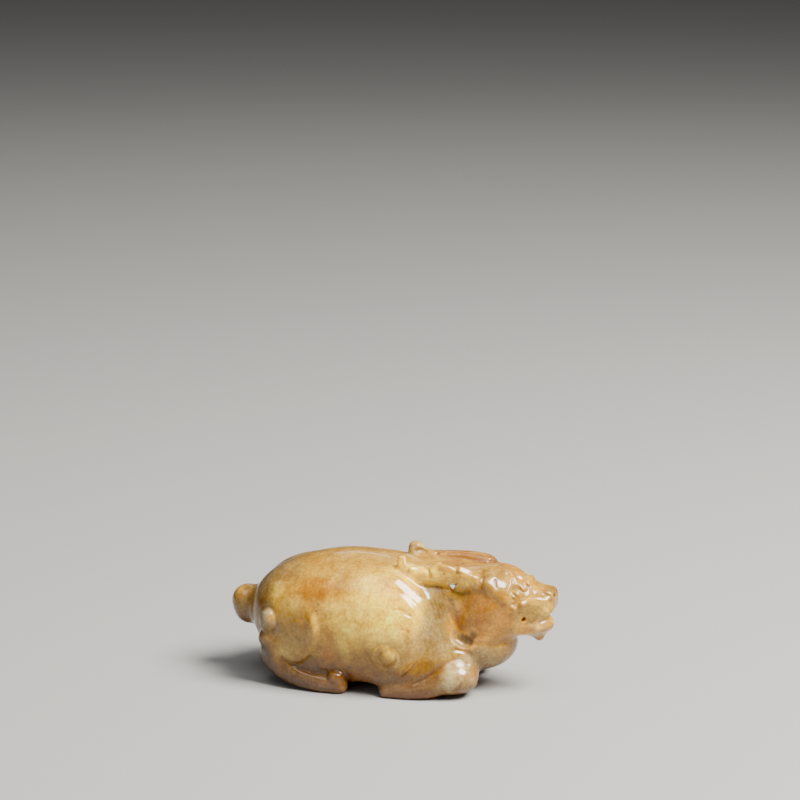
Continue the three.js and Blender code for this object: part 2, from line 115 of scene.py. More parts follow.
# The line along the top of the foreleg and round the knee.
LEG_EDGE = [(7.0, 12.9, 2.9, 0.4), (9.6, 11.9, 4.0, 0.45), (12.1, 11.2, 6.1, 0.5),
            (13.5, 10.6, 7.0, 0.5), (15.0, 10.0, 7.35, 0.5), (16.6, 9.5, 7.05, 0.5),
            (18.0, 9.3, 6.1, 0.4)]
LEG_FILL = ((3.5, 9.6, 4.6), (9.0, 4.0, 3.6), 0)

# Small rounded parts.
KNEE = ((15.3, 8.2, 4.2), (4.5, 4.9, 3.6), 12)
FETLOCK = ((-9.0, 12.8, 3.15), (1.85, 1.95, 1.7), 0)
ELBOW_CURL = ((2.25, 13.9, 9.05), (1.8, 1.75, 1.9), 0)
HAUNCH_CURL = ((-23.8, 11.2, 13.9), (2.2, 2.1, 2.55), 0)
HAUNCH_LOBE = ((-24.4, 10.8, 9.9), (1.9, 1.8, 1.9), 0)
TAIL = ((-31.5, 0, 13.5), (3.5, 4.1, 4.0), 0)
TAIL_TOP = ((-32.6, 0, 15.0), (2.5, 3.2, 2.4), 0)
TAIL_BASE = ((-28.8, 0, 13.45), (4.0, 4.0, 3.8), 0)

# Hollows and openings.
CHEEK_CREVICE = [(14.6, 8.3, 13.8, 0.4), (15.4, 8.3, 12.7, 1.2), (16.4, 8.3, 11.9, 1.45),
                 (17.6, 8.1, 11.3, 1.1), (18.6, 7.9, 11.0, 0.4)]
FAR_GAP = [(11.4, 3.2, 19.5, 0.7), (10.55, 6.4, 18.4, 1.1), (9.5, 10.4, 17.1, 1.35)]
# The small three-cornered hole under the horns: middle, direction, half width, top and bottom.
HORN_HOLE = ((12.25, 0.0, 20.55), (-0.246, 0.919, -0.309), 0.85, 0.4, -0.75)
BELLY_GAP = ((-3.0, 0, -1.6), (4.6, 24.0, 4.2), 0)
MOUTH_PIT = ((28.3, 4.2, 16.1), (0.32, 0.7, 0.55), 40)
NOSTRIL = ((33.9, 1.3, 20.6), (0.6, 0.6, 0.5), 0)
EYE_BASIN = ((27.5, 5.6, 22.6), (1.9, 1.5, 1.5), 0)
TIP_HOLLOW = ((4.7, 4.2, 26.4), (1.5, 1.5, 0.8), 0)

# Low relief on the flanks: discs with a crisp front edge that fade to the rear.
# Each has the centre's x and z, the radius, and the height over the width.
THIGH_DISC = (-20.2, 13.2, 7.9, 1.07)
SHOULDER_DISC = (-0.2, 13.0, 9.7, 1.0)
ELBOW_DISC = (1.8, 8.6, 2.9, 1.0)
FLANK_SIDE = 8
DISC_HEIGHT = 0.7
ELBOW_HEIGHT = 0.34
THIGH_RIM_HEIGHT = 0.13

# Finer carving: lines on the surface as points, with the groove's width and depth.
# A negative depth raises the line instead.
GROOVES = {
    "socket_rim": ([(28.9, 0.3, 23.1), (29.8, 1.6, 22.4), (30.0, 3.2, 21.8)], 0.4, -0.2),
    "socket_groove": ([(28.4, 2.6, 22.9), (29.1, 3.4, 22.3), (29.2, 4.4, 21.8),
                       (28.7, 5.2, 21.1), (27.7, 5.8, 20.3), (26.7, 6.3, 19.6)], 0.4, 0.35),
    "eye_back": ([(26.6, 4.9, 22.6), (25.9, 5.4, 21.75), (26.1, 5.8, 21.0), (26.6, 5.8, 20.5)],
                 0.25, 0.25),
    "lid_first": ([(26.8, 4.8, 22.9), (27.3, 5.0, 22.5), (27.9, 4.8, 21.9)], 0.22, -0.3),
    "lid_second": ([(27.2, 3.8, 23.2), (27.7, 3.9, 22.8), (28.1, 4.0, 22.3)], 0.25, -0.3),
    "lid_third": ([(27.8, 3.1, 23.0), (28.4, 3.2, 22.6), (28.7, 3.4, 22.2)], 0.22, -0.25),
    "temple_front": ([(25.4, 4.0, 24.2), (25.6, 5.3, 23.0), (25.3, 6.2, 22.0)], 0.4, -0.25),
    "temple_back": ([(26.0, 4.0, 24.0), (26.2, 5.0, 23.0), (25.9, 5.9, 22.0)], 0.35, 0.25),
    "temple_crease": ([(22.5, 5.4, 24.2), (22.8, 6.0, 23.5), (23.0, 6.4, 22.9)], 0.22, 0.2),
    "temple_second": ([(24.3, 4.7, 23.6), (24.6, 5.4, 22.8), (24.9, 6.1, 21.9)], 0.22, 0.16),
    "horn_root": ([(19.3, 2.6, 25.6), (19.7, 4.6, 25.1), (20.0, 6.0, 24.2), (19.6, 6.8, 23.0)],
                  0.45, 0.4),
    "brow_fold": ([(22.6, 1.4, 25.9), (24.5, 2.0, 25.4), (26.0, 3.1, 24.3)], 0.45, -0.22),
    "brow_second": ([(25.0, 0.8, 25.4), (26.6, 1.3, 24.7), (27.5, 2.0, 23.8)], 0.4, -0.22),
    "brow_groove": ([(24.6, 2.9, 24.9), (26.6, 2.6, 24.3), (28.2, 1.6, 23.6)], 0.35, 0.2),
    "nostril_wing": ([(32.4, 2.9, 21.3), (33.3, 2.4, 20.8), (33.4, 2.6, 19.9),
                      (32.8, 3.4, 19.6)], 0.3, 0.2),
    "lip_fold": ([(29.0, 4.8, 18.0), (30.5, 4.6, 18.9), (31.9, 4.2, 18.9), (32.8, 3.6, 17.8)],
                 0.5, -0.15),
    "mouth": ([(28.4, 3.7, 15.9), (28.9, 3.7, 15.75), (30.3, 3.3, 15.6), (31.7, 2.8, 15.4),
               (32.6, 1.2, 15.8), (33.0, 0.0, 15.9)], 0.4, 0.14),
    "jaw_crease": ([(28.1, 4.2, 14.6), (29.0, 4.0, 15.1), (29.9, 3.8, 15.2)], 0.3, 0.16),
    "horn_notch": ([(7.9, 4.6, 25.9), (8.9, 6.2, 25.4), (9.4, 7.1, 24.4)], 0.4, 0.32),
    "curl_outer": ([(16.1, 6.7, 25.3), (14.9, 6.9, 25.4), (13.9, 7.0, 24.8), (13.9, 7.1, 23.8),
                    (14.8, 7.1, 23.0), (16.1, 7.1, 23.3), (16.5, 7.1, 24.2),
                    (15.6, 7.1, 24.7)], 0.3, 0.08),
    "curl_inner": ([(18.3, 6.5, 24.3), (17.5, 6.8, 24.0), (17.5, 7.0, 23.2), (18.1, 6.9, 22.8),
                    (18.7, 6.7, 23.3)], 0.28, 0.08),
    "arc_upper": ([(3.3, 13.7, 18.7), (4.4, 13.3, 18.9), (5.6, 13.0, 18.4)], 0.32, 0.2),
    "arc_second": ([(4.9, 13.4, 18.1), (5.8, 13.1, 18.0), (6.8, 12.8, 17.4)], 0.32, 0.16),
    "arc_lower": ([(5.1, 14.3, 14.9), (5.9, 14.0, 15.0), (6.5, 13.8, 14.3)], 0.32, 0.2),
    "chest_crease": ([(15.6, 9.3, 10.1), (16.9, 8.8, 9.8), (18.2, 8.3, 9.0)], 0.5, 0.35),
    "paw_crease": ([(15.4, 12.6, 2.0), (16.7, 12.7, 3.0), (17.1, 12.6, 4.0)], 0.4, 0.2),
    "leg_line": ([(6.6, 14.6, 3.1), (8.8, 13.2, 4.2), (10.7, 12.5, 5.3), (12.7, 11.9, 6.8),
                  (13.8, 11.4, 7.65), (15.1, 10.6, 8.25), (16.6, 9.85, 8.1), (17.9, 9.5, 7.2)],
                 0.35, 0.38),
    "cheek_edge": ([(13.7, 7.15, 19.4), (14.1, 7.1, 17.7), (14.7, 6.8, 15.5),
                    (15.8, 7.1, 13.5)], 0.6, 0.4),
    "cheek_under": ([(19.2, 7.6, 11.3), (21.6, 7.0, 10.9), (23.6, 6.0, 10.9),
                     (25.4, 4.2, 11.2)], 0.55, 0.35),
    "leg_crease": ([(-20.6, 12.9, 6.4), (-18.6, 13.0, 5.6), (-16.2, 13.2, 4.6),
                    (-13.6, 13.4, 4.0), (-11.6, 13.4, 4.3)], 0.5, 0.35),
}

# Flat polished pads: middle, half sizes, rounding, and the way the length points.
# All of them face the same way, so that each one holds a single long highlight.
PAD_FACE = (0.46, 0.60, 0.655)
TEMPLE_PAD = ((23.1, 4.95, 21.9), (3.7, 2.1, 1.5), 1.3, (0.905, 0.212, -0.366))
HORN_PAD = ((17.1, 5.36, 24.97), (2.7, 0.95, 0.9), 0.65, (0.911, -0.232, -0.356))
HORN_REAR_PAD = ((6.1, 5.75, 25.2), (1.7, 0.5, 0.8), 0.4, (0.898, -0.515, -0.086))
RIDGE_PADS = [((27.1, 5.45, 18.75), (1.2, 0.45, 0.7), 0.4, (0.654, -0.714, 0.25)),
              ((28.9, 4.8, 19.85), (1.7, 0.6, 0.8), 0.45, (0.654, -0.714, 0.25))]
SHOULDER_PAD = ((4.5, 8.65, 20.55), (4.3, 1.75, 2.0), 1.35, (0.814, 0.079, -0.583))

# Curls cut in the side view: centre x and z, inner and outer radius, turns and start angle,
# then the groove's width and depth.
SPIRALS = [((-16.7, 12.9, 0.8, 3.4, 1.8, 0.6), 0.45, 0.09),
           ((2.2, 9.0, 1.55, 2.3, 1.1, 2.2), 0.35, 0.14)]

# Mane lines in the side view: centre x and z, half width and half height of their patch.
HAIR_PATCH = (11.6, 18.4, 2.6, 4.6)
HAIR_SPACING = 0.72
HAIR_DEPTH = 0.035

# Beyond REACH a small mass no longer matters, and a safe distance stands in for its field.
# A mass with a radius over LARGE_RADIUS is worked out everywhere.
REACH = 4.0
SAFE_GAP = 0.3
LARGE_RADIUS = 7
SPLINE_STEPS = 4
FAR_AWAY = 1e3

# The eight corners of a grid cell.
CORNERS = [(a, b, c) for a in (0, 1) for b in (0, 1) for c in (0, 1)]


def ramp(value, low, high):
    """A smooth step from 0 at low to 1 at high."""
    t = np.clip((value - low) / (high - low), 0, 1)
    return t * t * (3 - 2 * t)


def fold(p):
    """The points moved to the positive y side, so that one shape stands on both sides."""
    return np.stack([p[:, 0], np.abs(p[:, 1]), p[:, 2]], 1)


def mirror(p):
    """The points with the two sides of the body swapped."""
    return p * np.array([1, -1, 1], np.float32)


def near_only(p, low, high, make, reach):
    """The field that make gives near the box, and a safe distance elsewhere."""
    low = np.asarray(low, np.float32)
    high = np.asarray(high, np.float32)
    over = np.maximum(np.maximum(low - p, p - high), 0)
    d = np.sqrt((over * over).sum(1)) + SAFE_GAP
    close = np.nonzero(d < reach)[0]
    if len(close):
        d[close] = make(p[close])
    return d


def ellipsoid(p, mass):
    """A rounded mass: less than zero inside it, and close to its distance outside."""
    at, radii, dip = mass
    at = np.array(at, np.float32)
    radii = np.array(radii, np.float32)
    c, s = math.cos(math.radians(dip)), math.sin(math.radians(dip))

    def make(points):
        q = points - at
        if dip:
            x = q[:, 0] * c - q[:, 2] * s
            z = q[:, 0] * s + q[:, 2] * c
            q = np.stack([x, q[:, 1], z], 1)
        scaled = q / radii
        size = np.sqrt((scaled * scaled).sum(1))
        scaled = scaled / radii
        return size * (size - 1) / (np.sqrt((scaled * scaled).sum(1)) + 1e-9)

    points = fold(p) if at[1] else p
    largest = radii.max()
    if largest > LARGE_RADIUS:
        return make(points)
    return near_only(points, at - largest, at + largest, make, REACH)


def cone(p, a, b, squareness):
    """A bar from one (x, y, z, radius) point to the next."""
    start, end = np.array(a[:3], np.float32), np.array(b[:3], np.float32)
    axis = end - start
    t = np.clip(((p - start) @ axis) / (axis @ axis), 0, 1)
    gap = p - start - t[:, None] * axis
    if squareness == 2:
        size = np.sqrt((gap * gap).sum(1))
    else:
        size = (np.abs(gap) ** squareness).sum(1) ** (1 / squareness)
    return size - (a[3] + (b[3] - a[3]) * t)


def spline(points):
    """More points on a smooth line through the given ones."""
    pts = np.array(points, float)
    out = []
    for i in range(len(pts) - 1):
        a, b = pts[max(i - 1, 0)], pts[i]
        c, d = pts[i + 1], pts[min(i + 2, len(pts) - 1)]
        for t in np.arange(SPLINE_STEPS) / SPLINE_STEPS:
            out.append(0.5 * (2 * b + (c - a) * t + (2 * a - 5 * b + 4 * c - d) * t ** 2
                              + (3 * b - a - 3 * c + d) * t ** 3))
    out.append(pts[-1])
    return np.array(out)


def rod(p, points, folded=True, squareness=2, reach=REACH):
    """A bar along a smooth line through (x, y, z, radius) points; 2 is round, more is squarer."""
    line = spline(points)

    def make(q):
        d = np.full(len(q), FAR_AWAY, np.float32)
        for a, b in zip(line[:-1], line[1:]):
            d = np.minimum(d, cone(q, a, b, squareness))
        return d

    low = (line[:, :3] - line[:, 3:]).min(0)
    high = (line[:, :3] + line[:, 3:]).max(0)
    return near_only(fold(p) if folded else p, low, high, make, reach)


def rounded_box(p, box):
    """A box with rounded edges, from its middle, half sizes and rounding."""
    at, half, rounding = box
    over = np.abs(p - np.array(at, np.float32)) - np.array(half, np.float32) + rounding
    outside = np.sqrt((np.maximum(over, 0) ** 2).sum(1))
    return outside + np.minimum(over.max(1), 0) - rounding


def pad(p, shape, folded=True):
    """A rounded box whose length points as given, and whose top faces along PAD_FACE."""
    at, half, rounding, length = shape
    face = np.array(PAD_FACE, np.float32) / math.sqrt(sum(v * v for v in PAD_FACE))
    length = np.array(length, np.float32)
    length = length - face * (length @ face)
    length = length / math.sqrt((length * length).sum())
    q = (fold(p) if folded else p) - np.array(at, np.float32)
    turned = q @ np.stack([length, np.cross(face, length), face], 1)
    return rounded_box(turned, ((0, 0, 0), half, rounding))


def wedge(p, shape):
    """A three-cornered bar without ends, with its flat side up."""
    at, way, half, top, bottom = shape
    way = np.array(way, np.float32)
    right = np.cross(way, (0, 0, 1))
    right = right / math.sqrt((right * right).sum())
    up = np.cross(right, way)
    q = p - np.array(at, np.float32)
    across, high = np.abs(q @ right), q @ up
    slope = math.hypot(half, top - bottom)
    side = (across * (top - bottom) - (high - bottom) * half) / slope
    return np.maximum(high - top, side)


def join(a, b, width):
    """Joins two shapes, with their seam rounded over the width."""
    share = np.maximum(width - np.abs(a - b), 0) / width
    return np.minimum(a, b) - share * share * width * 0.25


def cut(a, b, width):
    """Takes the shape b out of a, with the edge rounded over the width."""
    return -join(-a, b, width)


def disc_edge(p, disc):
    """How far a point lies outside a flank disc, seen from the side."""
    x, z, radius, tall = disc
    return np.hypot(p[:, 0] - x, (p[:, 2] - z) / tall) - radius


def flank_relief(p):
    """How far the thigh, the shoulder and the elbow stand above the flank."""
    x, side, z = p[:, 0], np.abs(p[:, 1]), p[:, 2]
    edge = disc_edge(p, THIGH_DISC)
    thigh = 1 - ramp(edge, -1.2, 0.5)
    rim = np.exp(-((edge + 1.0) / 0.8) ** 2) - 0.5 * np.exp(-((edge + 2.4) / 0.8) ** 2)
    shoulder = 1 - ramp(disc_edge(p, SHOULDER_DISC), -0.5, 0.4)
    elbow = 1 - ramp(disc_edge(p, ELBOW_DISC), -0.5, 0.2)

    # Both large discs sink into the flank at the rear and towards the back.
    thigh_fade = ramp(x - 0.2 * z, -24.5, -15.5) * (1 - ramp(z, 13.5, 20.5))
    shoulder_fade = ramp(x - 0.15 * z, -1.0, 6.0) * (1 - ramp(z, 20.0, 24.0))
    height = (DISC_HEIGHT * thigh + THIGH_RIM_HEIGHT * rim) * thigh_fade
    height = height + (DISC_HEIGHT * shoulder) * shoulder_fade
    height = height + ELBOW_HEIGHT * elbow
    return height * (ramp(side, 7.5, 10.0) * ramp(z, 3.0, 6.0))


def spiral(p, shape, width):
    """A spiral groove on both flanks, 1 at its bottom and 0 away from it."""
    x, z, inner, outer, turns, start = shape
    right, up = p[:, 0] - x, p[:, 2] - z
    radius = np.hypot(right, up)
    angle = (np.arctan2(up, right) - start) / (2 * math.pi) % 1.0
    nearest = np.full(len(p), FAR_AWAY)
    for turn in range(int(math.ceil(turns)) + 1):
        along = (angle + turn) / turns
        arm = inner + (outer - inner) * along
        past_end = np.maximum(along - 1, 0) * 20
        nearest = np.minimum(nearest, np.abs(radius - arm) + past_end)
    return np.exp(-(nearest / width) ** 2) * (np.abs(p[:, 1]) > FLANK_SIDE)


def hair_lines(p):
    """Fine parallel lines of the mane, on the neck below the horns."""
    x, z, wide, tall = HAIR_PATCH
    right, up = p[:, 0] - x, p[:, 2] - z
    inside = 1 - ramp(np.hypot(right / wide, up / tall), 0.6, 1.0)
    phase = (right + 0.42 * up + 0.03 * up * up) / HAIR_SPACING
    return inside * (0.5 + 0.5 * np.cos(2 * math.pi * phase)) ** 2


def carving(p):
    """How deep the finer lines are cut at each point."""
    depth = np.zeros(len(p), np.float32)
    for points, width, deep in GROOVES.values():
        line = [(*point, 0.0) for point in points]
        d = rod(p, line, reach=3 * width + SAFE_GAP)
        depth += deep * np.exp(-(d / width) ** 2)
    for shape, width, deep in SPIRALS:
        depth += deep * spiral(p, shape, width)
    return depth + HAIR_DEPTH * hair_lines(p)


def torso_field(p):
    d = ellipsoid(p, TORSO)
    d = join(d, ellipsoid(p, RUMP), 4)
    d = join(d, ellipsoid(p, SHOULDER), 4)
    d = join(d, rounded_box(p, FLANK_BOX), 2.5)
    d = join(d, ellipsoid(p, LEG_FILL), 2.0)
    d = join(d, pad(mirror(p), SHOULDER_PAD, folded=False), 1.4)
    return d - flank_relief(p)


def neck_field(p):
    d = join(ellipsoid(p, NECK), ellipsoid(p, CHEST), 3)
    d = join(d, ellipsoid(p, BRISKET), 3)
    d = join(d, ellipsoid(p, NECK_SIDE), 2)
    d = join(d, ellipsoid(p, HORN_SEAT), 2)
    return join(d, ellipsoid(p, NAPE), 2)


def head_field(p):
    d = ellipsoid(p, SKULL)
    d = join(d, ellipsoid(p, CHEEK), 1.5)
    d = join(d, ellipsoid(p, BROW), 1.0)
    d = join(d, rod(p, TEMPLE_ROLL), 0.8)
    d = join(d, pad(p, TEMPLE_PAD), 0.8)
    d = join(d, rod(p, BROW_ROLL), 0.5)
    d = join(d, ellipsoid(p, MUZZLE), 1.2)
    d = join(d, rounded_box(p, NOSE_BOX), 0.7)
    d = join(d, ellipsoid(p, UPPER_LIP), 1.0)
    d = join(d, rod(p, CHEEK_RIDGE), 0.5)
    for shape in RIDGE_PADS:
        d = join(d, pad(p, shape), 0.6)
    jaw = join(ellipsoid(p, LOWER_JAW), rod(p, CHIN_TIP), 1.2)
    return join(d, jaw, 1.8)


def horn_field(p):
    q = mirror(p)
    d = rod(q, NEAR_HORN, folded=False, squareness=3)
    d = join(d, rod(q, HORN_TINE, folded=False), 0.8)
    d = join(d, rod(p, FAR_HORN, folded=False, squareness=3), 0.6)
    d = join(d, ellipsoid(p, HORN_WEB), 0.8)
    d = join(d, rod(q, HORN_EDGE, folded=False), 0.7)
    d = join(d, pad(q, HORN_PAD, folded=False), 0.4)
    return join(d, pad(q, HORN_REAR_PAD, folded=False), 0.4)


def limb_field(p):
    hind = join(rod(p, HIND_LEG), ellipsoid(p, FETLOCK), 0.4)
    fore = join(rod(p, FORE_LEG), ellipsoid(p, KNEE), 1.6)
    return hind, join(fore, rod(p, LEG_EDGE), 0.4)


def tail_field(p):
    lobe = join(ellipsoid(p, TAIL), ellipsoid(p, TAIL_TOP), 1.5)
    return join(lobe, ellipsoid(p, TAIL_BASE), 1.0)


def masses(p):
    """The whole stone before anything is cut out of it."""
    d = join(torso_field(p), neck_field(p), 1.8)
    d = join(d, tail_field(p), 2.6)
    hind, fore = limb_field(p)
    d = join(join(d, hind, 1.0), fore, 1.6)
    d = join(d, ellipsoid(p, ELBOW_CURL), 0.35)
    d = join(d, ellipsoid(p, HAUNCH_CURL), 0.35)
    d = join(d, ellipsoid(p, HAUNCH_LOBE), 1.0)
    d = join(join(d, horn_field(p), 0.9), head_field(p), 1.0)
    return join(d, ellipsoid(p, EAR), 0.5)


def field(p):
    """Negative inside the stone, positive outside, close to millimetres near the surface."""
    d = masses(p)
    d = cut(d, rod(p, CHEEK_CREVICE), 0.4)
    d = cut(d, wedge(p, HORN_HOLE), 0.25)
    d = cut(d, rod(p, FAR_GAP, folded=False), 0.5)
    d = cut(d, ellipsoid(p, BELLY_GAP), 1.0)
    d = cut(d, ellipsoid(p, MOUTH_PIT), 0.15)
    d = cut(d, ellipsoid(p, NOSTRIL), 0.3)
    d = cut(d, ellipsoid(p, EYE_BASIN), 0.5)
    d = join(d, ellipsoid(p, EYE_BALL), 0.15)
    d = cut(d, ellipsoid(p, TIP_HOLLOW), 0.6)
    d = d + carving(p)
    return -join(-d, p[:, 2], 0.5)


def at_corner(values, corner):
    """The grid's values at one corner of every cell."""
    return values[tuple(slice(c, n - 1 + c) for c, n in zip(corner, values.shape))]


def enlarge(values):
    """Every value repeated over its block of the fine grid."""
    for axis in range(3):
        values = np.repeat(values, BLOCK, axis)
    return values


def grid_values():
    """The field on a grid, worked out in full only in the blocks near the surface."""
    counts = [int(math.ceil((h - l) / PITCH / BLOCK)) * BLOCK for l, h in zip(LOW, HIGH)]
    axes = [np.arange(n + 1) * PITCH + l for n, l in zip(counts, LOW)]
    coarse_axes = [a[::BLOCK] for a in axes]
    points = np.stack(np.meshgrid(*coarse_axes, indexing="ij"), -1).reshape(-1, 3)
    coarse = field(points.astype(np.float32)).reshape([len(a) for a in coarse_axes])
    nearest = np.minimum.reduce([np.abs(at_corner(coarse, corner)) for corner in CORNERS])
    cells = enlarge(nearest < PITCH * BLOCK * NEAR_BLOCKS)
    half = BLOCK // 2
    values = enlarge(coarse)[tuple(slice(half, half + len(a)) for a in axes)]
    values = values.astype(np.float32)
    mask = np.zeros(values.shape, bool)
    for corner in CORNERS:
        marked = at_corner(mask, corner)
        marked |= cells
    index = np.nonzero(mask)
    points = np.stack([a[i] for a, i in zip(axes, index)], 1).astype(np.float32)
    values[index] = np.concatenate([field(part) for part in np.array_split(points, PARTS)])
    return values


def surface_net(values):
    """Points and quads of the surface where the grid's values change sign."""
    inside = values < 0
    total = sum(at_corner(inside, corner).astype(np.int8) for corner in CORNERS)
    cell = np.nonzero((total > 0) & (total < 8))
    place = np.full(total.shape, -1, np.int64)
    place[cell] = np.arange(len(cell[0]))
    base = np.stack(cell, 1)
    sums = np.zeros((len(base), 3))
    hits = np.zeros(len(base))
    for first in CORNERS:
        for axis in range(3):
            if first[axis]:
                continue
            second = list(first)
            second[axis] = 1
            i, j = base + first, base + second
            a, b = values[tuple(i.T)], values[tuple(j.T)]
            crossing = (a < 0) != (b < 0)
            t = np.where(crossing, a / np.where(crossing, a - b, 1), 0)
            at = np.array(first, float)[None].repeat(len(base), 0)
            at[:, axis] = t
            sums[crossing] += at[crossing]
            hits += crossing
    points = (base + sums / hits[:, None]) * PITCH + np.array(LOW)
    quads = []
    for axis in range(3):
        one, two = (axis + 1) % 3, (axis + 2) % 3
        here = [slice(1, n - 1) for n in values.shape]
        there = list(here)
        here[axis] = slice(0, values.shape[axis] - 1)
        there[axis] = slice(1, values.shape[axis])
        first, second = inside[tuple(here)], inside[tuple(there)]
        for rising in (True, False):
            found = np.stack(np.nonzero(first & ~second if rising else ~first & second), 1)
            offset = np.array([1, 1, 1])
            offset[axis] = 0
            found = found + offset
            ring = []
            for da, db in ((0, 0), (-1, 0), (-1, -1), (0, -1)):
                corner = found.copy()
                corner[:, one] += da
                corner[:, two] += db
                ring.append(place[tuple(corner.T)])
            ring = np.stack(ring, 1)
            quads.append(ring if rising else ring[:, ::-1])
    return points, np.concatenate(quads)


def slope_and_value(p, step):
    """The field's slope and value from four samples round each point."""
    p = p.astype(np.float32)
    slope = np.zeros((len(p), 3), np.float32)
    value = np.zeros(len(p), np.float32)
    for corner in ((1, 1, 1), (1, -1, -1), (-1, 1, -1), (-1, -1, 1)):
        way = np.array(corner, np.float32)
        sample = field(p + way * step)
        slope += sample[:, None] * way
        value += sample
    return slope / (4 * step), value / 4


def settle(p):
    """Draws the points onto the surface along the field's slope."""
    for _ in range(SETTLE_ROUNDS):
        slope, value = slope_and_value(p, SETTLE_STEP)
        size = np.sqrt((slope * slope).sum(1)) + 1e-3
        move = np.clip(value / size, -SETTLE_LIMIT, SETTLE_LIMIT)
        p = p - slope * (move / size)[:, None]
    return p


def mesh_object(name, points, quads):
    mesh = bpy.data.meshes.new(name)
    mesh.vertices.add(len(points))
    mesh.vertices.foreach_set("co", np.ascontiguousarray(points, np.float32).ravel())
    mesh.loops.add(len(quads) * 4)
    mesh.loops.foreach_set("vertex_index", np.ascontiguousarray(quads, np.int32).ravel())
    mesh.polygons.add(len(quads))
    mesh.polygons.foreach_set("loop_start", np.arange(0, len(quads) * 4, 4, dtype=np.int32))
    mesh.polygons.foreach_set("use_smooth", np.ones(len(quads), bool))
    mesh.update(calc_edges=True)
    mesh.validate()
    obj = bpy.data.objects.new(name, mesh)
    bpy.context.scene.collection.objects.link(obj)
    return obj


# Colours of the stone, and of painted shade and painted glow, as linear red, green and blue.
HONEY = (0.47, 0.265, 0.030)
AMBER = (0.47, 0.205, 0.012)
PALE = (0.92, 0.62, 0.060)
CLOUD = (0.42, 0.28, 0.060)
SMOKE = (0.14, 0.083, 0.037)
UMBER = (0.085, 0.040, 0.013)
RUSSET = (0.22, 0.055, 0.007)
MILK = (0.52, 0.42, 0.20)
# Painted glow: a lighter orange standing in for light shining through the thin stone.
PAINTED_GLOW = (0.80, 0.40, 0.035)
# Painted shade: the colour that the stone darkens to low on the body.
LOW_SHADE = (0.20, 0.090, 0.010)
SOOT = (0.17, 0.11, 0.05)
RUST = (0.25, 0.095, 0.014)
# Painted shade: a darker brown laid where less light falls.
PAINTED_SHADE = (0.24, 0.14, 0.035)
GREY = (0.27, 0.22, 0.125)
STRAW = (0.31, 0.215, 0.075)

